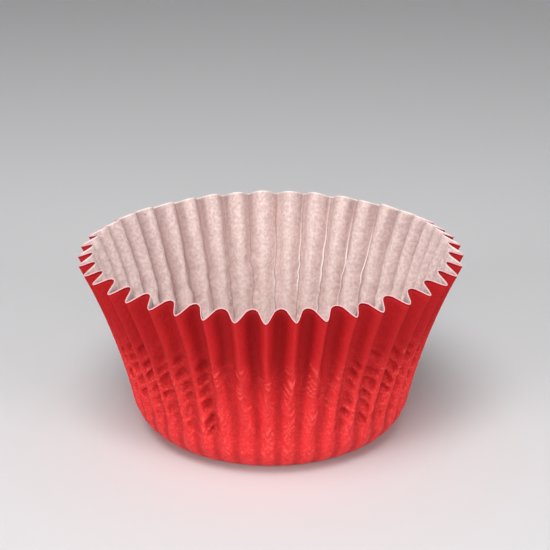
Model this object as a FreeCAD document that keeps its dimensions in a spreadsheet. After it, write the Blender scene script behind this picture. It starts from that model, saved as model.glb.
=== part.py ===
import FreeCAD, Part
import math
import os
import sys

import Sketcher
from FreeCAD import Vector

# A pleated paper baking cup, pressed from one flat round of coated paper.
# Frame: the cup stands on Z = 0 and opens towards +Z, Z is its axis, and one
# outward fold points to -Y.

# Driving dimensions in millimetres, degrees, counts or shares: alias, value, meaning
SIZES = [
    ("paper_thickness", 0.12, "thickness of the coated paper"),
    ("base_flat_diameter", 40.2, "flat round that the cup stands on"),
    ("bend_radius", 8.15, "outside of the bend from the base into the wall"),
    ("bend_turn", 78.5, "degrees that the bend turns through"),
    ("rim_diameter", 76.0, "across the outward folds at the cut edge"),
    ("rim_height", 36.1, "height of the outward folds at the cut edge"),
    ("pleat_count", 42, "pleats around the cup"),
    ("crown_share", 0.41, "share of a pleat's width that its round inward crown takes"),
]

# How finely the round shapes are divided into flat facets of paper
BEND_ROWS = 4
WALL_ROWS = 5
CROWN_FACETS = 4

doc = FreeCAD.newDocument("baking_cup")


def fill_sheet():
    """Puts each driving dimension in a cell of its own, with its alias."""
    sheet = doc.addObject("Spreadsheet::Sheet", "sizes")
    for row, (alias, value, meaning) in enumerate(SIZES, start=1):
        sheet.set(f"A{row}", alias)
        sheet.set(f"B{row}", str(value))
        sheet.set(f"C{row}", meaning)
        sheet.setAlias(f"B{row}", alias)
    doc.recompute()
    return sheet


def bound(sketch, name, constraint, expression):
    """Adds a dimension with a name and ties it to the sheet."""
    index = sketch.addConstraint(constraint)
    sketch.renameConstraint(index, name)
    sketch.setExpression(f"Constraints.{name}", expression)


def meridian_sketch(sheet):
    """Outline of the outward folds, from the axis along the base and up to the rim."""
    sketch = doc.addObject("Sketcher::SketchObject", "meridian")
    sketch.Placement = FreeCAD.Placement(Vector(0, 0, 0), FreeCAD.Rotation(Vector(1, 0, 0), 90))
    flat_radius = sheet.base_flat_diameter / 2
    bend_radius = sheet.bend_radius
    turn = math.radians(sheet.bend_turn)
    bend_centre = Vector(flat_radius, bend_radius, 0)
    bend_end = bend_centre + Vector(math.sin(turn), -math.cos(turn), 0) * bend_radius
    rim = Vector(sheet.rim_diameter / 2, sheet.rim_height, 0)
    # The wall flares on an arc that leaves the bend along the bend's own direction
    chord = rim - bend_end
    square = Vector(math.sin(turn), -math.cos(turn), 0)
    wall_radius = chord.dot(chord) / (2 * chord.dot(square))
    wall_centre = bend_end + square * wall_radius
    to_rim = rim - wall_centre
    upright = Vector(0, 0, 1)
    edges = [
        Part.LineSegment(Vector(0, 0, 0), Vector(flat_radius, 0, 0)),
        Part.ArcOfCircle(Part.Circle(bend_centre, upright, bend_radius),
                         -math.pi / 2, turn - math.pi / 2),
        Part.ArcOfCircle(Part.Circle(wall_centre, upright, wall_radius),
                         math.atan2(to_rim.y, to_rim.x), turn + math.pi / 2),
    ]
    underside, bend, wall = sketch.addGeometry(edges, False)
    spoke = sketch.addGeometry(Part.LineSegment(bend_centre, bend_end), True)
    for first, first_end, second, second_end in (
            (underside, 1, -1, 1), (spoke, 1, bend, 3), (spoke, 2, bend, 2)):
        sketch.addConstraint(
            Sketcher.Constraint("Coincident", first, first_end, second, second_end))
    sketch.addConstraint(Sketcher.Constraint("Horizontal", underside))
    sketch.addConstraint(Sketcher.Constraint("Tangent", underside, 2, bend, 1))
    sketch.addConstraint(Sketcher.Constraint("Tangent", bend, 2, wall, 2))
    bound(sketch, "flat_radius",
          Sketcher.Constraint("DistanceX", -1, 1, underside, 2, flat_radius),
          "sizes.base_flat_diameter / 2")
    bound(sketch, "bend_radius", Sketcher.Constraint("Radius", bend, bend_radius),
          "sizes.bend_radius")
    bound(sketch, "bend_turn",
          Sketcher.Constraint("Angle", -1, 1, spoke, 1, turn - math.pi / 2),
          "sizes.bend_turn * 1 deg - 90 deg")
    bound(sketch, "rim_radius", Sketcher.Constraint("DistanceX", -1, 1, wall, 1, rim.x),
          "sizes.rim_diameter / 2")
    bound(sketch, "rim_height", Sketcher.Constraint("DistanceY", -1, 1, wall, 1, rim.y),
          "sizes.rim_height")
    doc.recompute()
    return sketch


def stations(sketch):
    """Where the paper's rows of fold points lie on the meridian, from the base outwards.

    Each has the paper's length from the centre, the place on the outline, and the
    outward direction there.
    """
    underside, bend, wall = sketch.Shape.Edges
    places = [(underside, underside.Length, 1)]
    places += [(bend, bend.Length * row / BEND_ROWS, 1) for row in range(1, BEND_ROWS + 1)]
    # The wall's arc runs down from the rim, so its lengths are counted from its far end
    places += [(wall, wall.Length * (1 - row / WALL_ROWS), -1) for row in range(1, WALL_ROWS + 1)]
    rows = []
    reach = 0.0
    before = Vector(0, 0, 0)
    for edge, length, sense in places:
        parameter = edge.getParameterByLength(length)
        place = edge.valueAt(parameter)
        along = edge.tangentAt(parameter) * sense
        reach += bowed_length(edge, before, place)
        rows.append((reach, place, Vector(along.z, 0, -along.x)))
        before = place
    return rows


def bowed_length(edge, start, end):
    """Length of a line or an arc between two points on it."""
    chord = (end - start).Length
    radius = getattr(edge.Curve, "Radius", None)
    if radius is None:
        return chord
    return 2 * radius * math.asin(chord / 2 / radius)


def flank_angle(slack, crown_share):
    """Angle of a pleat's flanks that takes up paper slack times as long as its width.

    A flat flank and a round crown are as long as the paper they are folded from.
    """
    low = 0.0
    high = math.pi / 2
    while high - low > 1e-9:
        angle = (low + high) / 2
        bow = angle / math.sin(angle)
        if (1 - crown_share) / math.cos(angle) + crown_share * bow > slack:
            high = angle
        else:
            low = angle
    return (low + high) / 2


def pleat_outline(reach, radius, sheet):
    """One pleat across, outside of the paper: (sideways, inwards) from its fold.

    The points run from one crown's middle over the fold at (0, 0) to the next crown.
    """
    half_width = math.pi * radius / sheet.pleat_count
    crown = sheet.crown_share * half_width
    angle = flank_angle(reach / radius, sheet.crown_share)
    flank_depth = (half_width - crown) * math.tan(angle)
    depth = flank_depth + crown * math.tan(angle / 2)
    side = [(0.0, 0.0)]
    half_facets = CROWN_FACETS // 2
    for step in range(half_facets, -1, -1):
        turned = angle * step / half_facets
        across = crown * math.sin(turned) / math.sin(angle)
        rise = crown * (1 - math.cos(turned)) / math.sin(angle)
        side.append((half_width - across, depth - rise))
    return [(-across, inwards) for across, inwards in side[:0:-1]] + side


def inner_face(outline, thickness):
    """The same pleat on the inside of the paper, each facet moved in by the thickness."""
    facets = list(zip(outline, outline[1:]))
    squares = []
    for (start_across, start_in), (end_across, end_in) in facets:
        length = math.hypot(end_across - start_across, end_in - start_in)
        squares.append(((start_in - end_in) / length, (end_across - start_across) / length))
    # At a crown's middle the next pleat is the mirror image of this one
    squares.insert(0, (-squares[0][0], squares[0][1]))
    squares.append((-squares[-1][0], squares[-1][1]))
    moved = []
    for (across, inwards), before, after in zip(outline, squares, squares[1:]):
        share = thickness / (1 + before[0] * after[0] + before[1] * after[1])
        moved.append((across + (before[0] + after[0]) * share,
                      inwards + (before[1] + after[1]) * share))
    return moved


def ring_points(outline, place, outward, sheet):
    """A row of points round the cup, from one pleat's outline on the meridian."""
    points = []
    for pleat in range(int(sheet.pleat_count)):
        middle = 2 * math.pi * pleat / sheet.pleat_count - math.pi / 2
        # The last point of a pleat is the first of the next one
        for across, inwards in outline[:-1]:
            angle = middle + across / place.x
            point = place - outward * inwards
            points.append(Vector(point.x * math.cos(angle), point.x * math.sin(angle), point.z))
    return points


def facet(*corners):
    return Part.Face(Part.makePolygon([*corners, corners[0]]))


def band(first, second):
    """Flat facets between two rows, with their creases mirrored about each fold."""
    columns = len(first)
    per_pleat = CROWN_FACETS + 2
    facets = []
    for column in range(columns):
        after = (column + 1) % columns
        if column % per_pleat < per_pleat // 2:
            facets.append(facet(first[column], first[after], second[column]))
            facets.append(facet(first[after], second[after], second[column]))
        else:
            facets.append(facet(first[column], first[after], second[after]))
            facets.append(facet(first[column], second[after], second[column]))
    return facets


def baking_cup(sheet, sketch):
    """The whole cup, folded from one sheet of paper."""
    outer_rows = []
    inner_rows = []
    for reach, place, outward in stations(sketch):
        outline = pleat_outline(reach, place.x, sheet)
        outer_rows.append(ring_points(outline, place, outward, sheet))
        inside = inner_face(outline, sheet.paper_thickness)
        inner_rows.append(ring_points(inside, place, outward, sheet))
    facets = [facet(*outer_rows[0]), facet(*inner_rows[0])]
    for rows in (outer_rows, inner_rows):
        for lower, upper in zip(rows, rows[1:]):
            facets += band(lower, upper)
    facets += band(outer_rows[-1], inner_rows[-1])
    paper = Part.Solid(Part.Shell(facets))
    if paper.Volume < 0:
        paper.reverse()
    cup = doc.addObject("Part::Feature", "baking_cup")
    cup.Label = "baking_cup"
    cup.Shape = paper
    cup.Placement = FreeCAD.Placement()
    return cup


def check_document():
    """Stops before anything is written if an object failed or a shape is no good."""
    for item in doc.Objects:
        if "Invalid" in item.State or "Error" in item.State:
            sys.exit(f"{item.Name} failed: {item.State}")


sheet = fill_sheet()
cup = baking_cup(sheet, meridian_sketch(sheet))
check_document()
if cup.Shape.isNull() or not cup.Shape.isValid():
    sys.exit("baking_cup has no valid shape")
os.makedirs("parts", exist_ok=True)
cup.Shape.exportStep(f"parts/{cup.Label}.step")
print(f"baking_cup: {len(cup.Shape.Solids)} solid, {cup.Shape.Volume:.1f} mm3, {cup.Shape.BoundBox}")
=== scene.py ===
"""A pleated paper baking cup: one round sheet of coated paper, red outside and pale inside."""

import math

import bmesh
import bpy
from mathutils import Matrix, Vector


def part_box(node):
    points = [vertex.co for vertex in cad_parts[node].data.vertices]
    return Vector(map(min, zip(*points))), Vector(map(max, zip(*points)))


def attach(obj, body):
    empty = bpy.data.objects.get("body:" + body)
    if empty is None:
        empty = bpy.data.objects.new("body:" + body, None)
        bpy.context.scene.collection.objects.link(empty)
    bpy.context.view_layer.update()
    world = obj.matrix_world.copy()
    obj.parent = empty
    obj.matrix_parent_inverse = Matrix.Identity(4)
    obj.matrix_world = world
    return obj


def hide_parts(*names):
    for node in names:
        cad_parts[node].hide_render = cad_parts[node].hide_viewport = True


bl_info = {
    "name": "Pleated baking cup",
    "version": (1, 0, 0),
    "blender": (4, 5, 0),
    "location": "3D View > Sidebar > Baking cup",
    "description": "Folds a pleated paper baking cup from one round sheet",
    "category": "Add Mesh",
}

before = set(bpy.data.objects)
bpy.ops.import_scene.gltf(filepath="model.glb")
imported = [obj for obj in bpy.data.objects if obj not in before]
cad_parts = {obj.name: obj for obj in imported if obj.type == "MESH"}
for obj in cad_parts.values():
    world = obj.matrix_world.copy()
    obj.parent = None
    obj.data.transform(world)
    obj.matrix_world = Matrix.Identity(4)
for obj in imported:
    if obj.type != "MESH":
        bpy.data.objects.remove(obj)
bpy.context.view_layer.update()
CUP_LOW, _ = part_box("baking_cup")
MM = 0.001

# Added to the seed for each thing that varies, so that no two of them vary alike
NOISE = {
    "spacing": 0.0, "mark_wander": 3.0, "mark_strength": 5.0, "crease_wander": 7.0,
    "v_patches": 11.0, "pleat_depth": 19.0, "dent_patches": 23.0, "rim": 31.0,
    "crease_ripple": 43.0, "proud": 57.0,
}
# Smooth noise stays well within 0 to 1, so this brings it to about -1 to 1
NOISE_SPAN = 3.2
# Uneven spacing of the pleats in degrees: what goes once, twice, three and four times round the
# cup, each as (cosine, sine), and then one turn for all the pleats
SPACING_WAVES = ((0.6, -1.55), (-0.85, 0.65), (-0.4, -1.0), (0.5, 0.0))
SPACING_TURN = -1.27
# How far noise adds to that spacing, and how far creases wander sideways, in degrees
SPACING_NOISE = 0.5
CREASE_WANDER = 0.55
# How much one pleat may be deeper than another, as a share
DEPTH_VARIES = 0.08
# How much closer the rows lie in the middle of the wall than on an even sheet, and so how much
# wider apart they lie at the rim
ROWS_GATHERED = 0.45
RIM_ROW = 1.0 + ROWS_GATHERED
# Shares of the rim's height over which things start or end
PRESSED_STARTS = (0.08, 0.3)
PRESSED_ENDS = (0.55, 0.95)
DENTS_START = (0.14, 0.32)
V_MARKS_START = (0.04, 0.2)
MARKS_END = (0.58, 0.78)
PROUD_ENDS = (0.6, 0.92)
# Noise changes about once in these lengths of paper: for creases, patches of marks, and marks
CREASE_RISE = 5.5 * MM
PATCH_RISE = 8.0 * MM
MARK_RISE = 5.0 * MM
# How much of its depth a pleat keeps at the bend, where the paper is crushed flat
CRUSHED = 0.18
# How much steeper the flanks stand, to make up for a round crown
CROWN_STEEPENS = 0.34

# Millimetres of paper from the centre of the base over which a finish or painted shade and light
# starts or ends
REACH = {
    "shade_towards_rim": (36, 58), "flute_shade_grows": (38, 52), "low_flute_shade_starts": (21, 25),
    "rings_end": (42, 51), "sheen_and_wear_end": (38, 52), "lit_low_inside_ends": (34, 62), "folds_start": (22, 32),
}
# How much each part of a finish, painted shade and highlights among them, covers of what lies under
# it, and how much of the rings is lost higher on the wall
COVER = {
    "print_clouds": 0.25, "dents": 0.27, "raised": 0.5, "wear_and_sheen": 0.45, "low_flute_shade": 0.5,
    "flute_shade_at_rim": 0.5, "flute_shade_below_rim": 0.38, "even_flute_shade": 0.45,
    "rings": 0.06, "ring_grain": 0.3, "rings_lost": 0.85,
    "shadow_line_on_folds": 0.5, "shadow_line_in_flutes": 0.5,
    "inside_lit_low": 0.95, "warm": 0.4, "crease": 0.6, "proud": 0.9, "frayed": 0.5, "edge_clouds": 0.5,
}

# Where each lamp stands and how wide it is, in metres
LAMPS = {
    "left": ((-0.47, -0.46, 0.22), 0.3),
    "right": ((0.47, -0.46, 0.21), 0.3),
    "top": ((-0.06, -0.3, 0.6), 0.4),
    "front": ((0.0, -0.48, 0.22), 0.25),
}
# The floor in metres: its flat round, the bend up from it, and the height of its wall
FLOOR_FLAT = 1.0
FLOOR_BEND = 0.6
FLOOR_WALL = 1.5
FLOOR_SIDES = 96
FLOOR_BEND_ROWS = 12
# It lies this far below the cup, so that the two faces don't flicker
FLOOR_GAP = 0.05 * MM


def length_setting(name, description, default, precision=5):
    return bpy.props.FloatProperty(name=name, description=description, default=default,
                                   unit="LENGTH", precision=precision)


def colour_setting(name, description, *default):
    return bpy.props.FloatVectorProperty(name=name, description=description, subtype="COLOR",
                                         size=4, min=0, max=1, default=(*default, 1))


def power_setting(name, description, default):
    return bpy.props.FloatProperty(name=name, description=description, default=default,
                                   unit="POWER")


class CupSizes(bpy.types.PropertyGroup):
    """Sizes of the sheet, its pleats and the marks that pressing left in it."""
    pleats: bpy.props.IntProperty(
        name="Pleats", description="Pleats around the cup", default=42, min=8)
    rim_radius: length_setting(
        "Rim radius", "From the axis to the outward folds at the cut edge", -CUP_LOW.y)
    rim_height: length_setting(
        "Rim height", "Height of the outward folds at the cut edge", 36.1 * MM)
    base_radius: length_setting(
        "Base radius", "Radius of the flat round that the cup stands on", 20.1 * MM)
    bend_radius: length_setting(
        "Bend radius", "Outside radius of the bend from base to wall", 8.15 * MM)
    bend_turn: bpy.props.FloatProperty(
        name="Bend turn", description="Angle that the bend turns through",
        default=math.radians(78.5), subtype="ANGLE")
    paper: length_setting("Paper", "Thickness of the coated paper", 0.1 * MM)
    crown_share: bpy.props.FloatProperty(
        name="Crown share", description="Share of a pleat's width that its round crown takes",
        default=0.6, min=0.05, max=0.95)
    fold_round: bpy.props.FloatProperty(
        name="Fold rounding", description="Softness of the outward folds at the rim, as a share",
        default=0.24)
    low_round: bpy.props.FloatProperty(
        name="Low rounding", description="Further softness of the outward folds at the bend",
        default=0.4)
    chevron_pitch: length_setting(
        "Chevron pitch", "Distance between the V marks up an outward fold", 1.65 * MM)
    chevron_depth: length_setting(
        "Chevron depth", "Height of the V marks along the outward folds", 0.2 * MM, 6)
    dent_pitch: length_setting(
        "Dent pitch", "Distance between the small dents up a flute", 2.9 * MM)
    dent_depth: length_setting(
        "Dent depth", "Depth of the small dents along the flutes", 0.62 * MM, 6)
    rim_waver: length_setting(
        "Rim waver", "How unevenly high the cut edge stands", 0.22 * MM, 6)
    seed: bpy.props.IntProperty(
        name="Seed", description="Picks one of the possible uneven foldings", default=79)
    columns: bpy.props.IntProperty(
        name="Columns", description="Faces across one pleat", default=14, min=6)
    rows: bpy.props.IntProperty(
        name="Rows", description="Faces from the centre of the sheet to the rim", default=83,
        min=20)
    base_rows: bpy.props.IntProperty(
        name="Base rows", description="Faces of those that lie on the flat base", default=4, min=1)


class CupPaper(bpy.types.PropertyGroup):
    """Colours of the paper."""
    outside: colour_setting("Outside", "Printed red face, low on the wall", 0.73, 0.034, 0.037)
    # Painted shade: the red is painted darker towards the rim and lighter low on the wall, as the
    # light falls
    outside_shaded_high: colour_setting(
        "Outside, high", "Printed red face towards the rim", 0.545, 0.016, 0.019)
    # Painted shade: this darker red is laid in the flutes and dents; it also mottles the print
    flute: colour_setting("Flute", "Red face deep in the flutes", 0.3, 0.008, 0.01)
    # Painted highlight, partly rubbing: lighter red on raised marks, round the dents and in patches
    # low on the wall
    rubbed: colour_setting(
        "Rubbed", "Red face where the pressed marks stand out", 0.95, 0.11, 0.1)
    inside: colour_setting("Inside", "Bare pale face", 0.735, 0.565, 0.54)
    inside_dull: colour_setting(
        "Inside, dull", "Clouds in the pale face, where its fibres lie thinner", 0.535, 0.375, 0.37)
    inside_warm: colour_setting(
        "Inside, warm", "Cream fibres in the pale face", 0.76, 0.64, 0.535)
    # Painted light: the pale face is painted lighter low in the cup, standing in for light
    inside_lit_low: colour_setting(
        "Inside, low", "Pale face low in the cup, which was rubbed less", 0.93, 0.775, 0.745)
    inside_lit_low_dull: colour_setting(
        "Inside, low, dull", "Clouds in the pale face low in the cup", 0.755, 0.57, 0.555)
    # Painted highlight beside some creases inside; also the frayed pale band at the rim
    proud: colour_setting(
        "Proud", "Pale face where it stands proud beside a crease or frays at the rim",
        1.0, 0.95, 0.92)
    # Painted shade in the valleys and creases inside
    crease: colour_setting("Crease", "Pale face deep in its creases", 0.36, 0.22, 0.21)
    edge: colour_setting("Cut edge", "Bare fibres at the cut rim", 0.92, 0.46, 0.475)
    # Painted shadow: a thin dark line just below the cut edge on the red
    painted_shadow_line: colour_setting(
        "Line at the edge", "Thin dark line where the print ends at the rim", 0.1, 0.003, 0.01)


class StageSettings(bpy.types.PropertyGroup):
    """Where the camera stands and how light the studio is."""
    distance: bpy.props.FloatProperty(
        name="Distance", description="From the middle of the rim to the camera",
        default=266 * MM, unit="LENGTH")
    elevation: bpy.props.FloatProperty(
        name="Elevation", description="How far the camera looks down on the rim",
        default=math.radians(19.5), subtype="ANGLE")
    lens: bpy.props.FloatProperty(
        name="Lens", description="Focal length", default=88, subtype="DISTANCE_CAMERA")
    aim_down: bpy.props.FloatProperty(
        name="Aim down", description="How far below the rim's middle the camera points",
        default=math.radians(1.07), subtype="ANGLE")
    aim_right: bpy.props.FloatProperty(
        name="Aim right", description="How far right of the rim's middle the camera points",
        default=math.radians(0.19), subtype="ANGLE")
    floor: colour_setting("Floor", "Colour of the floor", 0.7, 0.7, 0.71)
    surround: bpy.props.FloatProperty(
        name="Surround", description="Strength of the even light from all round", default=0.25)
    left_power: power_setting("Left light", "Power of the large light on the left", 1.95)
    right_power: power_setting("Right light", "Power of the large light on the right", 1.79)
    top_power: power_setting("Top light", "Power of the light overhead", 2.95)
    front_power: power_setting("Front light", "Power of the weak light behind the camera", 0.4)


class Formula:
    """A number that a node tree works out, so that a sum is written as a sum."""

    def __init__(self, tree, socket):
        self.tree = tree
        self.socket = socket

    def math(self, operation, *others):
        node = self.tree.nodes.new("ShaderNodeMath")
        node.operation = operation
        for socket, value in zip(node.inputs, (self, *others)):
            feed(self.tree, socket, value)
        return Formula(self.tree, node.outputs[0])

    def __add__(self, other):
        return self.math("ADD", other)

    def __sub__(self, other):
        return self.math("SUBTRACT", other)

    def __mul__(self, other):
        return self.math("MULTIPLY", other)

    def __truediv__(self, other):
        return self.math("DIVIDE", other)

    def __neg__(self):
        return self * -1.0

    __radd__ = __add__
    __rmul__ = __mul__

    def __rsub__(self, other):
        return -self + other

    def at_least(self, other):
        return self.math("MAXIMUM", other)

    def at_most(self, other):
        return self.math("MINIMUM", other)

    def power(self, exponent):
        return self.math("POWER", exponent)

    def sin(self):
        return self.math("SINE")

    def cos(self):
        return self.math("COSINE")

    def root(self):
        return self.math("SQRT")

    def floor(self):
        return self.math("FLOOR")

    def size(self):
        return self.math("ABSOLUTE")

    def sign(self):
        return self.math("SIGN")

    def fade(self, low, high):
        """0 below low and 1 above high, with a smooth change between them."""
        node = self.tree.nodes.new("ShaderNodeMapRange")
        node.interpolation_type = "SMOOTHSTEP"
        for name, value in (("Value", self), ("From Min", low), ("From Max", high)):
            feed(self.tree, node.inputs[name], value)
        return Formula(self.tree, node.outputs["Result"])


def feed(tree, socket, value):
    """Links a formula to a socket, or sets a plain value on it."""
    if isinstance(value, Formula):
        tree.links.new(value.socket, socket)
    else:
        socket.default_value = value


def node_of(tree, kind, **settings):
    node = tree.nodes.new(kind)
    for name, value in settings.items():
        setattr(node, name, value)
    return node


def vector_of(tree, x, y, z):
    node = tree.nodes.new("ShaderNodeCombineXYZ")
    for socket, value in zip(node.inputs, (x, y, z)):
        feed(tree, socket, value)
    return Formula(tree, node.outputs[0])


def noise_for(thing, given, place, scale=1.0):
    """Smooth noise about zero, roughly from -1 to 1, that belongs to one thing in NOISE."""
    tree = place.tree
    node = node_of(tree, "ShaderNodeTexNoise", noise_dimensions="4D")
    feed(tree, node.inputs["Vector"], place)
    feed(tree, node.inputs["W"], given["Seed"] + NOISE[thing])
    node.inputs["Scale"].default_value = scale
    node.inputs["Detail"].default_value = 0.0
    return (Formula(tree, node.outputs["Fac"]) - 0.5) * NOISE_SPAN


# Inputs of the tree that folds the sheet: name, kind, and the setting that it gets
SHEET_INPUTS = (
    ("Pleats", "NodeSocketFloat", "pleats"),
    ("Rim radius", "NodeSocketFloat", "rim_radius"),
    ("Rim height", "NodeSocketFloat", "rim_height"),
    ("Base radius", "NodeSocketFloat", "base_radius"),
    ("Bend radius", "NodeSocketFloat", "bend_radius"),
    ("Bend turn", "NodeSocketFloat", "bend_turn"),
    ("Crown share", "NodeSocketFloat", "crown_share"),
    ("Fold rounding", "NodeSocketFloat", "fold_round"),
    ("Low rounding", "NodeSocketFloat", "low_round"),
    ("Chevron pitch", "NodeSocketFloat", "chevron_pitch"),
    ("Chevron depth", "NodeSocketFloat", "chevron_depth"),
    ("Dent pitch", "NodeSocketFloat", "dent_pitch"),
    ("Dent depth", "NodeSocketFloat", "dent_depth"),
    ("Rim waver", "NodeSocketFloat", "rim_waver"),
    ("Seed", "NodeSocketFloat", "seed"),
    ("Columns", "NodeSocketInt", "columns"),
    ("Rows", "NodeSocketInt", "rows"),
    ("Base rows", "NodeSocketInt", "base_rows"),
)


def place_in_pleat(along, pleats):
    """Where a column lies: how many pleats round, how far from its fold, and on which side.

    The distance from the fold runs from 0 to 1, and the columns lie closer together near it.
    The last result is that distance again, below zero on one side of the fold.
    """
    count = along * pleats
    fold = (count + 0.5).floor()
    side = count - fold
    from_fold = (side.size() * 2.0).power(1.5)
    beside_fold = side.sign() * from_fold
    return fold + beside_fold * 0.5, from_fold, beside_fold


def wall_arc(given):
    """Radius of the wall's arc, and the length of paper from the centre of the base to the rim.

    The arc leaves the bend along the bend's own direction and ends at the rim.
    """
    turn = given["Bend turn"]
    start_radius = given["Base radius"] + given["Bend radius"] * turn.sin()
    start_height = given["Bend radius"] * (1.0 - turn.cos())
    run = given["Rim radius"] - start_radius
    rise = given["Rim height"] - start_height
    square = run * run + rise * rise
    wall_radius = square / ((run * turn.sin() - rise * turn.cos()) * 2.0)
    wall_length = (square.root() / wall_radius / 2.0).math("ARCSINE") * wall_radius * 2.0
    return wall_radius, given["Base radius"] + given["Bend radius"] * turn + wall_length


def meridian(reach, given):
    """Length of paper, radius, height and direction of the folds' outline, at a share of reach."""
    bend_length = given["Bend radius"] * given["Bend turn"]
    length = reach * given["Paper reach"]
    on_bend = (length - given["Base radius"]).at_least(0.0).at_most(bend_length)
    on_wall = (length - given["Base radius"] - bend_length).at_least(0.0)
    bent = on_bend / given["Bend radius"]
    angle = bent - on_wall / given["Wall radius"]
    radius = (length.at_most(given["Base radius"]) + given["Bend radius"] * bent.sin()
              + given["Wall radius"] * (bent.sin() - angle.sin()))
    height = (given["Bend radius"] * (1.0 - bent.cos())
              + given["Wall radius"] * (angle.cos() - bent.cos()))
    return length, radius, height, angle


def rows_along(share, given):
    """Where a row lies on the sheet, as a share of the way to the rim.

    A few rows cross the base, and the rest lie closest in the crinkled middle of the wall.
    """
    base_share = given["Base rows"] / given["Rows"]
    flat_share = given["Base radius"] / given["Paper reach"]
    up = ((share - base_share) / (1.0 - base_share)).at_least(0.0)
    gathered = up + (up * math.tau).sin() * ROWS_GATHERED / math.tau
    return (share / base_share).at_most(1.0) * flat_share + gathered * (1.0 - flat_share)


class SheetPoint:
    """Where a point of the sheet lies: in its pleat, round the cup and up the wall."""

    def __init__(self, tree, given, along, share):
        count, self.from_fold, self.beside_fold = place_in_pleat(along, given["Pleats"])
        self.tree = tree
        self.around = count / given["Pleats"] * math.tau
        self.behind = (-self.around.cos()).fade(0.0, 0.45)
        self.circle = given["Pleats"] / math.tau
        waver = noise_for("rim", given, self.noise_place()) * given["Rim waver"]
        stretch = 1.0 + waver * share * share / given["Paper reach"]
        outline = meridian(rows_along(share, given) * stretch, given)
        self.length, self.radius, self.height, self.angle = outline
        self.up_wall = (self.height / given["Rim height"]).at_most(1.0)
        self.from_rim = (1.0 - share) * given["Paper reach"] * RIM_ROW

    def noise_place(self, spread=1.0, rise=None):
        """A place for noise: on a circle, so that it joins up, with neighbouring pleats unlike.

        With a rise, the noise also changes up the wall, about once in that length of paper.
        """
        return vector_of(self.tree, self.around.cos() * self.circle * spread,
                         self.around.sin() * self.circle * spread,
                         0.0 if rise is None else self.length / rise)


def across_flank(given, point):
    """How far across its pleat a point lies, from 0 to 1, with the outward fold softened."""
    softer = given["Low rounding"] * (1.0 - point.up_wall.fade(0.1, 0.85))
    soft = given["Fold rounding"] + softer
    return ((point.from_fold * point.from_fold + soft * soft).root() - soft) / (
        (1.0 + soft * soft).root() - soft)


def pleat_depth(given, point):
    """How far in from the folds' outline the paper lies: a flat flank, then a round crown.

    A pleat is as deep as it must be to take up the paper that the smaller round can't.
    """
    crown = given["Crown share"]
    across = across_flank(given, point)
    # A round crown takes up less paper than a sharp one, so its flanks stand steeper
    taken_up = (point.radius / point.length.at_least(0.1 * MM)).at_most(1.0)
    slant = (taken_up.math("ARCCOSINE") * (1.0 + crown * CROWN_STEEPENS)).at_least(0.02)
    flank = across.at_most(1.0 - crown) * slant.math("TANGENT")
    crown_radius = crown / slant.sin()
    beside = (1.0 - across).at_most(crown)
    bow = ((crown_radius * crown_radius - beside * beside).root()
           - crown_radius + crown * (slant / 2.0).math("TANGENT"))
    folded = (point.length - given["Base radius"]).fade(0.2 * MM, 2.0 * MM)
    # Low on the cup the paper is crushed flat more than it is folded
    crushed = CRUSHED + point.up_wall.fade(0.0, 0.3) * (1.0 - CRUSHED)
    half_width = point.radius * math.pi / given["Pleats"]
    return (flank + bow) * half_width * folded * crushed


def uneven_spacing(given, point):
    """How far round a pleat lies from its even place, in degrees."""
    uneven = 0.0
    for times, (cosine, sine) in enumerate(SPACING_WAVES, start=1):
        turned = point.around * times
        uneven = uneven + turned.cos() * cosine + turned.sin() * sine
    return uneven + SPACING_TURN + noise_for("spacing", given, point.noise_place()) * SPACING_NOISE


def folded_position(given, point):
    """Where a point of the flat sheet comes to lie on the folded cup."""
    # Creases wander sideways in the pressed part of the wall
    pressed = point.up_wall.fade(*PRESSED_STARTS) * (1.0 - point.up_wall.fade(*PRESSED_ENDS))
    crease_place = point.noise_place(rise=CREASE_RISE)
    wander = noise_for("crease_wander", given, crease_place) * pressed * CREASE_WANDER
    ripple = noise_for("crease_ripple", given, crease_place, 2.1) * pressed * point.behind
    ripple = ripple * CREASE_WANDER
    aside = (uneven_spacing(given, point) + wander + ripple) * math.radians(1.0)
    turned = point.around + aside - math.pi / 2
    uneven_depth = 1.0 + noise_for("pleat_depth", given, point.noise_place()) * DEPTH_VARIES
    inward = pleat_depth(given, point) * uneven_depth
    radius = point.radius - point.angle.sin() * inward
    height = point.height + point.angle.cos() * inward
    return vector_of(point.tree, radius * turned.cos(), radius * turned.sin(), height)


def painted_crease_highlights(given, point):
    """Which creases inside, at the back on the right, get a painted highlight on the side that
    stands proud.
    """
    place = point.noise_place(rise=CREASE_RISE)
    proud = point.behind * point.around.sin().fade(-0.1, 0.15)
    proud = proud * noise_for("proud", given, place, 0.45).fade(-0.8, -0.1)
    return proud * (1.0 - point.up_wall.fade(*PROUD_ENDS) * 0.75)


def finish_values(given, point):
    """What the finish needs to know of each point of the paper, by the attribute's name."""
    around = point.around
    # Painted shade: the valleys inside are painted darker towards the sides, most of all on the
    # left
    valley_shade_weight = around.sin().size() * 0.78 - around.sin() * 0.12 + 0.2
    return {
        "paper_reach": point.length,
        "from_fold": point.from_fold,
        "marks": crinkles(given, point),
        "beside_fold": point.beside_fold,
        "proud": painted_crease_highlights(given, point),
        "valley_shade_weight": valley_shade_weight * (-around.cos()).fade(-0.3, 0.2),
        # Painted shade: the flutes are painted darkest at the front and the back, more evenly at
        # the sides
        "flute_shade_front": around.cos().size().fade(0.75, 1.1),
        "from_rim": point.from_rim,
    }


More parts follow.
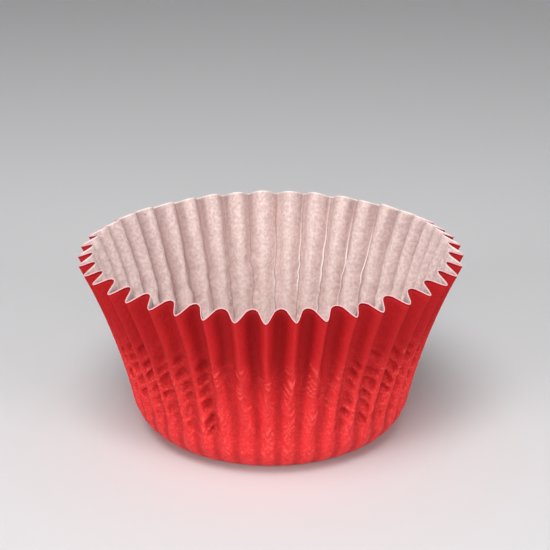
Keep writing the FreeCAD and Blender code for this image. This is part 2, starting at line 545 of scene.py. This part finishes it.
def store_values(tree, geometry, values):
    """Keeps values on the points of a geometry, each under its name."""
    for name, value in values.items():
        store = node_of(tree, "GeometryNodeStoreNamedAttribute", data_type="FLOAT", domain="POINT")
        store.inputs["Name"].default_value = name
        tree.links.new(geometry, store.inputs["Geometry"])
        feed(tree, store.inputs["Value"], value)
        geometry = store.outputs["Geometry"]
    return geometry


def press_step(tree):
    """A step that pushes the marks in, square to the paper wherever it faces."""
    press = tree.nodes.new("GeometryNodeSetPosition")
    square = node_of(tree, "ShaderNodeVectorMath", operation="SCALE")
    tree.links.new(tree.nodes.new("GeometryNodeInputNormal").outputs[0], square.inputs[0])
    read = node_of(tree, "GeometryNodeInputNamedAttribute", data_type="FLOAT")
    read.inputs["Name"].default_value = "marks"
    feed(tree, square.inputs["Scale"], -Formula(tree, read.outputs["Attribute"]))
    tree.links.new(square.outputs[0], press.inputs["Offset"])
    return press


def new_sheet_tree():
    """An empty tree with the sheet's inputs, and what it is given."""
    tree = bpy.data.node_groups.new("folded_sheet", "GeometryNodeTree")
    for name, kind, _ in SHEET_INPUTS:
        tree.interface.new_socket(name, in_out="INPUT", socket_type=kind)
    tree.interface.new_socket("Sheet", in_out="OUTPUT", socket_type="NodeSocketGeometry")
    source = tree.nodes.new("NodeGroupInput")
    given = {name: Formula(tree, source.outputs[name]) for name, _, _ in SHEET_INPUTS}
    given["Wall radius"], given["Paper reach"] = wall_arc(given)
    return tree, given


def flat_grid(tree, given):
    """The flat sheet, with how far along it and how far up it a point lies, from 0 to 1."""
    grid = tree.nodes.new("GeometryNodeMeshGrid")
    feed(tree, grid.inputs["Vertices X"], given["Columns"] * given["Pleats"] + 1.0)
    feed(tree, grid.inputs["Vertices Y"], given["Rows"] + 1.0)
    position = tree.nodes.new("GeometryNodeInputPosition")
    split = tree.nodes.new("ShaderNodeSeparateXYZ")
    tree.links.new(position.outputs[0], split.inputs[0])
    # A new grid is 1 wide each way, about its middle
    along = Formula(tree, split.outputs["X"]) + 0.5
    share = Formula(tree, split.outputs["Y"]) + 0.5
    return grid.outputs["Mesh"], along, share


def sheet_tree(material):
    """The tree that folds the cup's outer face from a flat grid."""
    tree, given = new_sheet_tree()
    geometry, along, share = flat_grid(tree, given)
    point = SheetPoint(tree, given, along, share)
    geometry = store_values(tree, geometry, finish_values(given, point))
    move = tree.nodes.new("GeometryNodeSetPosition")
    feed(tree, move.inputs["Position"], folded_position(given, point))
    merge = tree.nodes.new("GeometryNodeMergeByDistance")
    merge.inputs["Distance"].default_value = 0.002 * MM
    # Split here, so that both faces of the paper bend along the same lines
    halves = tree.nodes.new("GeometryNodeTriangulate")
    smooth = tree.nodes.new("GeometryNodeSetShadeSmooth")
    realize = tree.nodes.new("GeometryNodeRealizeInstances")
    paint = tree.nodes.new("GeometryNodeSetMaterial")
    paint.inputs["Material"].default_value = material
    for node in (move, merge, press_step(tree), halves, smooth, realize, paint):
        tree.links.new(geometry, node.inputs[0])
        geometry = node.outputs[0]
    result = tree.nodes.new("NodeGroupOutput")
    tree.links.new(geometry, result.inputs["Sheet"])
    return tree


def dents(given, point, side, wander, strength):
    """Slanting dents on the flanks, from 0 to about 1.

    Most lie at the two sides of the cup, where it was handled least evenly.
    """
    zone = point.up_wall.fade(*DENTS_START) * (1.0 - point.up_wall.fade(*MARKS_END))
    patch_place = point.noise_place(0.6, PATCH_RISE)
    patch = noise_for("dent_patches", given, patch_place, 1.3) * 0.3 + side * 3.0 - 0.3
    patch = patch.fade(-0.15, 0.4) * zone * (1.0 - point.behind * 0.8)
    steps = point.length / given["Dent pitch"] - point.from_fold * 0.35 + wander * 0.5
    on_flank = point.from_fold.fade(0.1, 0.42) * (1.0 - point.from_fold.fade(0.75, 1.05) * 0.7)
    return skewed_pulse(steps) * patch * strength * on_flank


def chevrons(given, point, side, wander, strength):
    """V marks over the outward folds, from 0 to about 1, fewest at the two sides of the cup."""
    zone = point.up_wall.fade(*V_MARKS_START) * (1.0 - point.up_wall.fade(*MARKS_END))
    patch_place = point.noise_place(0.6, PATCH_RISE)
    patch = noise_for("v_patches", given, patch_place, 2.0) + 0.6
    patch = patch.fade(0.0, 0.7) * zone
    steps = point.length / given["Chevron pitch"] - point.from_fold * 2.0 + wander * 1.3
    marks = pulse(steps) * patch * strength * (1.0 - side * 0.8)
    return marks * (1.0 - point.from_fold.fade(0.35, 0.8))


def crinkles(given, point):
    """How far pressing pushed the paper in: slanting dents on the flanks, V marks on the folds."""
    # The dents start nearer the front on the left than on the right
    side = (point.around - math.radians(5.0)).sin()
    side = side * side
    place = point.noise_place(1.6, MARK_RISE)
    wander = noise_for("mark_wander", given, place)
    strength = noise_for("mark_strength", given, place, 1.9) + 0.9
    strength = strength.at_least(0.0).at_most(1.4)
    return (dents(given, point, side, wander, strength) * given["Dent depth"]
            - chevrons(given, point, side, wander, strength) * given["Chevron depth"])


def pulse(steps):
    """One short smooth rise in each step."""
    wave = (steps * math.tau).cos() * 0.5 + 0.5
    return wave * wave


def skewed_pulse(steps):
    """One rise in each step, steep at its lower end, where the dent has its ledge."""
    wave = ((steps + (steps * math.tau).sin() * 0.13) * math.tau).cos() * -0.5 + 0.5
    return wave.power(1.4)


def set_inputs(modifier, tree, sizes):
    """Gives the tree's inputs their values, each by its socket's identifier."""
    names = {name: prop for name, _, prop in SHEET_INPUTS}
    for item in tree.interface.items_tree:
        if item.item_type == "SOCKET" and item.in_out == "INPUT":
            value = getattr(sizes, names[item.name])
            modifier[item.identifier] = float(value) if "Float" in item.socket_type else int(value)


def plain_copy(carrier, name):
    """A plain mesh object of what an object's modifiers make."""
    bpy.context.view_layer.update()
    graph = bpy.context.evaluated_depsgraph_get()
    mesh = bpy.data.meshes.new_from_object(carrier.evaluated_get(graph))
    mesh.name = name
    piece = bpy.data.objects.new(name, mesh)
    bpy.context.scene.collection.objects.link(piece)
    carrier.modifiers.clear()
    bpy.data.objects.remove(carrier)
    return piece


def sharpen_cut_edge(mesh):
    """Keeps the rim's corners crisp, where the cut edge meets the two faces of the paper."""
    form = bmesh.new()
    form.from_mesh(mesh)
    open_edges = 0
    for edge in form.edges:
        if len(edge.link_faces) != 2:
            open_edges += 1
        elif edge.link_faces[0].material_index != edge.link_faces[1].material_index:
            edge.smooth = False
    form.to_mesh(mesh)
    form.free()
    if open_edges:
        raise RuntimeError(f"the paper has {open_edges} open or doubled edges")


def fibre_group():
    """Paper fibres: a cloudy mask and a fine grain."""
    group = bpy.data.node_groups.new("paper_fibres", "ShaderNodeTree")
    for name in ("Cloud scale", "Grain scale"):
        group.interface.new_socket(name, in_out="INPUT", socket_type="NodeSocketFloat")
    for name in ("Clouds", "Grain"):
        group.interface.new_socket(name, in_out="OUTPUT", socket_type="NodeSocketFloat")
    source = group.nodes.new("NodeGroupInput")
    result = group.nodes.new("NodeGroupOutput")
    place = group.nodes.new("ShaderNodeTexCoord")
    for name, scale, detail in (("Clouds", "Cloud scale", 4.0), ("Grain", "Grain scale", 2.0)):
        noise = group.nodes.new("ShaderNodeTexNoise")
        noise.inputs["Detail"].default_value = detail
        group.links.new(place.outputs["Object"], noise.inputs["Vector"])
        group.links.new(source.outputs[scale], noise.inputs["Scale"])
        group.links.new(noise.outputs["Fac"], result.inputs[name])
    return group


def new_material(name):
    """An empty material with its surface shader, as (material, tree, shader)."""
    material = bpy.data.materials.new(name)
    material.use_nodes = True
    tree = material.node_tree
    return material, tree, tree.nodes["Principled BSDF"]


def attribute(tree, name):
    node = tree.nodes.new("ShaderNodeAttribute")
    node.attribute_name = name
    return Formula(tree, node.outputs["Fac"])


def fibres(tree, group, clouds, grain):
    """The two fibre patterns at a material's own scales."""
    node = tree.nodes.new("ShaderNodeGroup")
    node.node_tree = group
    node.inputs["Cloud scale"].default_value = clouds
    node.inputs["Grain scale"].default_value = grain
    return Formula(tree, node.outputs["Clouds"]), Formula(tree, node.outputs["Grain"])


def blend_colour(tree, share, first, second):
    """A mix of two colours, each a plain colour or a node's result."""
    node = node_of(tree, "ShaderNodeMix", data_type="RGBA")
    feed(tree, node.inputs["Factor"], share)
    for socket, colour in ((node.inputs[6], first), (node.inputs[7], second)):
        if isinstance(colour, Formula):
            tree.links.new(colour.socket, socket)
        else:
            socket.default_value = tuple(colour)
    return Formula(tree, node.outputs[2])


def layered(tree, colour, *layers):
    """A colour with others over it, each given as how much it covers and its colour."""
    for cover, over in layers:
        colour = blend_colour(tree, cover, colour, over)
    return colour


def over_reach(tree, part):
    """0 to 1 over the stretch of paper that REACH has for a part of the finish."""
    low, high = REACH[part]
    return attribute(tree, "paper_reach").fade(low * MM, high * MM)


def bump(tree, shader, height, distance):
    node = tree.nodes.new("ShaderNodeBump")
    node.inputs["Distance"].default_value = distance
    feed(tree, node.inputs["Height"], height)
    tree.links.new(node.outputs["Normal"], shader.inputs["Normal"])


def painted_flute_shade(tree):
    """How much painted shade darkens the red in the flutes towards the rim, spread evenly at the
    sides of the cup.
    """
    flute_shade_front = attribute(tree, "flute_shade_front")
    from_fold = attribute(tree, "from_fold")
    deep = from_fold.fade(0.15, 0.65) * flute_shade_front + (1.0 - flute_shade_front) * COVER["even_flute_shade"]
    below_rim = attribute(tree, "from_rim").fade(0.4 * MM, 2.2 * MM) * COVER["flute_shade_below_rim"]
    return deep * over_reach(tree, "flute_shade_grows") * (COVER["flute_shade_at_rim"] + below_rim)


def mark_layers(tree, paper, grain):
    """Colours of the marks: painted shade in dents; painted highlights, partly rubbing, on raised
    marks and rings.
    """
    marks = attribute(tree, "marks")
    ring = marks.fade(0.01 * MM, 0.08 * MM) * (1.0 - marks.fade(0.08 * MM, 0.2 * MM))
    ring = ring * (COVER["rings"] + grain.fade(0.42, 0.62) * COVER["ring_grain"])
    ring = ring * (1.0 - over_reach(tree, "rings_end") * COVER["rings_lost"])
    raised = (-marks).fade(0.02 * MM, 0.16 * MM) * COVER["raised"]
    return ((marks.fade(0.1 * MM, 0.5 * MM) * COVER["dents"], paper.flute),
            (ring, paper.rubbed), (raised, paper.rubbed))


def low_layers(tree, paper, grain):
    """Colours low on the wall: wear with a painted sheen, lighter all over, and painted shade in
    the flutes.
    """
    wear_and_sheen = grain.fade(0.5, 0.72) * (1.0 - over_reach(tree, "sheen_and_wear_end")) * COVER["wear_and_sheen"]
    shade = attribute(tree, "from_fold").fade(0.4, 0.9) * over_reach(tree, "low_flute_shade_starts")
    shade = shade * (1.0 - over_reach(tree, "flute_shade_grows")) * COVER["low_flute_shade"]
    return (wear_and_sheen, paper.rubbed), (shade, paper.flute)


def rim_layers(tree, paper):
    """Colours at the rim: a painted shadow line just below the cut edge, and the bare cut edge."""
    from_rim = attribute(tree, "from_rim")
    in_flutes = attribute(tree, "from_fold").fade(0.3, 0.8) * COVER["shadow_line_in_flutes"]
    line = (1.0 - from_rim.fade(0.45 * MM, 0.85 * MM)) * (COVER["shadow_line_on_folds"] + in_flutes)
    return (line, paper.painted_shadow_line), (1.0 - from_rim.fade(0.2 * MM, 0.28 * MM), paper.edge)


def red_face(paper, group):
    """The printed outside: satin red, with painted shade in the flutes and towards the rim, and a
    painted shadow line at the cut edge.
    """
    material, tree, shader = new_material("red_face")
    clouds, grain = fibres(tree, group, clouds=1200.0, grain=2600.0)
    # Painted shade deepens the red in the flutes and towards the rim; the clouds mottle the print
    deep = painted_flute_shade(tree)
    colour = layered(tree, paper.outside,
                     (over_reach(tree, "shade_towards_rim"), paper.outside_shaded_high),
                     (deep, paper.flute),
                     (clouds.fade(0.35, 0.75) * COVER["print_clouds"], paper.flute),
                     *mark_layers(tree, paper, grain),
                     *low_layers(tree, paper, grain),
                     *rim_layers(tree, paper))
    tree.links.new(colour.socket, shader.inputs["Base Color"])
    feed(tree, shader.inputs["Roughness"], 0.42 + clouds * 0.2 + deep * 0.2)
    shader.inputs["Specular IOR Level"].default_value = 0.08
    bump(tree, shader, clouds + grain * 0.25, 0.12 * MM)
    return material


def crease_layers(tree, paper):
    """Colours of the folds inside: painted shade in the valleys and a thin line of it in each
    crease, and painted highlights on proud sides.
    """
    from_fold = attribute(tree, "from_fold")
    beside = attribute(tree, "beside_fold")
    valley_shade_weight = attribute(tree, "valley_shade_weight")
    folded = over_reach(tree, "folds_start")
    valley_shade = (1.0 - from_fold.fade(0.0, 0.6)) * folded * valley_shade_weight
    crease = (1.0 - from_fold.fade(0.02, 0.12)) * folded * valley_shade_weight.fade(0.0, 0.2) * COVER["crease"]
    proud = beside.fade(0.03, 0.07) * (1.0 - beside.fade(0.11, 0.17)) * attribute(tree, "proud")
    return ((valley_shade, paper.crease), (crease, paper.crease),
            (proud * folded * COVER["proud"], paper.proud))


def pale_face(paper, group):
    """The bare inside: matt pinkish white paper with dull clouds and cream fibres, painted lighter
    low in the cup.
    """
    material, tree, shader = new_material("pale_face")
    clouds, grain = fibres(tree, group, clouds=1500.0, grain=5200.0)
    # Painted light: the colours are painted lighter low in the cup
    low = (1.0 - over_reach(tree, "lit_low_inside_ends")) * COVER["inside_lit_low"]
    dull = blend_colour(tree, low, paper.inside_dull, paper.inside_lit_low_dull)
    bright = blend_colour(tree, low, paper.inside, paper.inside_lit_low)
    frayed = (1.0 - attribute(tree, "from_rim").fade(0.25 * MM, 0.5 * MM)) * COVER["frayed"]
    colour = layered(tree, dull,
                     (clouds.fade(0.3, 0.7), bright),
                     (grain.fade(0.4, 0.7) * COVER["warm"], paper.inside_warm),
                     *crease_layers(tree, paper),
                     (frayed, paper.proud))
    tree.links.new(colour.socket, shader.inputs["Base Color"])
    feed(tree, shader.inputs["Roughness"], 0.7 + grain * 0.2)
    bump(tree, shader, clouds * 0.5 + grain * 0.5, 0.1 * MM)
    return material


def cut_edge(paper, group):
    """The cut rim: bare fibres, paler than either face."""
    material, tree, shader = new_material("cut_edge")
    clouds, _ = fibres(tree, group, clouds=700.0, grain=3000.0)
    share = clouds.fade(0.3, 0.7) * COVER["edge_clouds"]
    colour = blend_colour(tree, share, paper.edge, paper.inside)
    tree.links.new(colour.socket, shader.inputs["Base Color"])
    shader.inputs["Roughness"].default_value = 0.8
    return material


class PAPER_CUP_OT_fold_sheet(bpy.types.Operator):
    """Folds the cup from one round sheet, gives it its thickness and both its faces"""
    bl_idname = "paper_cup.fold_sheet"
    bl_label = "Fold the sheet"

    def execute(self, context):
        sizes = context.scene.cup_sizes
        paper = context.scene.cup_paper
        group = fibre_group()
        faces = [red_face(paper, group), pale_face(paper, group), cut_edge(paper, group)]
        carrier = bpy.data.objects.new("flat_sheet", bpy.data.meshes.new("flat_sheet"))
        context.scene.collection.objects.link(carrier)
        folding = carrier.modifiers.new("folding", "NODES")
        folding.node_group = sheet_tree(faces[0])
        set_inputs(folding, folding.node_group, sizes)
        sheet = plain_copy(carrier, "folded_sheet")
        # A grid made by nodes starts with an empty slot, before that of the red face
        sheet.data.materials.pop(index=0)
        for face in faces[1:]:
            sheet.data.materials.append(face)
        body = sheet.modifiers.new("paper", "SOLIDIFY")
        body.thickness = sizes.paper
        body.offset = -1
        # An even offset would poke spikes through the paper at its tightest folds
        body.use_even_offset = False
        body.material_offset = 1
        body.material_offset_rim = 2
        cup = plain_copy(sheet, "paper_cup")
        sharpen_cut_edge(cup.data)
        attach(cup, "root")
        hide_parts("baking_cup")
        return {"FINISHED"}


def area_light(name, place, target, size, power):
    """A round soft lamp that points at a target."""
    data = bpy.data.lights.new(name, "AREA")
    data.shape = "DISK"
    data.size = size
    data.energy = power
    light = bpy.data.objects.new(name, data)
    light.location = place
    light.rotation_euler = (Vector(target) - Vector(place)).to_track_quat("-Z", "Y").to_euler()
    bpy.context.scene.collection.objects.link(light)


def floor_outline():
    """Radius and height of the floor's rings: a flat round that bends up into a wall."""
    outline = [(FLOOR_FLAT, 0.0)]
    for step in range(1, FLOOR_BEND_ROWS + 1):
        turn = math.pi / 2 * step / FLOOR_BEND_ROWS
        outline.append((FLOOR_FLAT + FLOOR_BEND * math.sin(turn),
                        FLOOR_BEND * (1 - math.cos(turn))))
    outline.append((FLOOR_FLAT + FLOOR_BEND, FLOOR_WALL))
    return outline


def floor_mesh():
    """The floor's rings, joined from its middle outwards."""
    points = [(0.0, 0.0, -FLOOR_GAP)]
    faces = []
    for row, (radius, height) in enumerate(floor_outline()):
        for step in range(FLOOR_SIDES):
            turn = math.tau * step / FLOOR_SIDES
            points.append((radius * math.cos(turn), radius * math.sin(turn), height - FLOOR_GAP))
            first = 1 + row * FLOOR_SIDES + step
            after = 1 + row * FLOOR_SIDES + (step + 1) % FLOOR_SIDES
            if row == 0:
                faces.append((0, first, after))
            else:
                faces.append((first - FLOOR_SIDES, first, after, after - FLOOR_SIDES))
    mesh = bpy.data.meshes.new("floor")
    mesh.from_pydata(points, [], faces)
    mesh.shade_smooth()
    return mesh


def pale_floor(colour):
    """A round floor that curves up into a wall all round, a hair below the cup's base."""
    material, _, shader = new_material("floor_paint")
    shader.inputs["Base Color"].default_value = tuple(colour)
    shader.inputs["Roughness"].default_value = 0.9
    mesh = floor_mesh()
    mesh.materials.append(material)
    floor = bpy.data.objects.new("floor", mesh)
    bpy.context.scene.collection.objects.link(floor)


def aim_camera(stage, rim_height):
    """A camera at the photograph's angle, turned a little off the rim's middle."""
    data = bpy.data.cameras.new("camera")
    data.lens = stage.lens
    data.sensor_width = 36
    data.clip_start = 0.01
    camera = bpy.data.objects.new("camera", data)
    middle = Vector((0, 0, rim_height))
    back = Vector((0, -math.cos(stage.elevation), math.sin(stage.elevation)))
    camera.location = middle + back * stage.distance
    camera.rotation_euler = (math.pi / 2 - stage.elevation - stage.aim_down, 0, -stage.aim_right)
    bpy.context.scene.collection.objects.link(camera)
    bpy.context.scene.camera = camera


def even_surround(strength):
    world = bpy.data.worlds.new("studio")
    world.use_nodes = True
    background = world.node_tree.nodes["Background"]
    background.inputs["Color"].default_value = (1, 1, 1, 1)
    background.inputs["Strength"].default_value = strength
    bpy.context.scene.world = world


class PAPER_CUP_OT_set_stage(bpy.types.Operator):
    """Sets the floor, the soft lights and the camera"""
    bl_idname = "paper_cup.set_stage"
    bl_label = "Set the stage"

    def execute(self, context):
        stage = context.scene.cup_stage
        sizes = context.scene.cup_sizes
        middle = (0, 0, sizes.rim_height / 2)
        pale_floor(stage.floor)
        even_surround(stage.surround)
        for name, (place, size) in LAMPS.items():
            power = getattr(stage, f"{name}_power")
            area_light(f"{name}_light", place, middle, size, power)
        aim_camera(stage, sizes.rim_height)
        context.scene.view_settings.view_transform = "Standard"
        return {"FINISHED"}


class PAPER_CUP_PT_panel(bpy.types.Panel):
    """Lists the cup's operators and settings"""
    bl_idname = "PAPER_CUP_PT_panel"
    bl_label = "Baking cup"
    bl_space_type = "VIEW_3D"
    bl_region_type = "UI"
    bl_category = "Baking cup"

    def draw(self, context):
        layout = self.layout
        layout.operator(PAPER_CUP_OT_fold_sheet.bl_idname)
        layout.operator(PAPER_CUP_OT_set_stage.bl_idname)
        for group in (context.scene.cup_sizes, context.scene.cup_paper, context.scene.cup_stage):
            box = layout.box()
            for name in group.bl_rna.properties.keys():
                if name not in ("rna_type", "name"):
                    box.prop(group, name)


SETTINGS = {"cup_sizes": CupSizes, "cup_paper": CupPaper, "cup_stage": StageSettings}
CLASSES = (CupSizes, CupPaper, StageSettings, PAPER_CUP_OT_fold_sheet, PAPER_CUP_OT_set_stage,
           PAPER_CUP_PT_panel)


def register():
    for cls in CLASSES:
        bpy.utils.register_class(cls)
    for name, cls in SETTINGS.items():
        setattr(bpy.types.Scene, name, bpy.props.PointerProperty(type=cls))


def unregister():
    for name in SETTINGS:
        delattr(bpy.types.Scene, name)
    for cls in reversed(CLASSES):
        bpy.utils.unregister_class(cls)


def main():
    register()
    bpy.ops.paper_cup.fold_sheet()
    bpy.ops.paper_cup.set_stage()


if __name__ == "__main__":
    main()
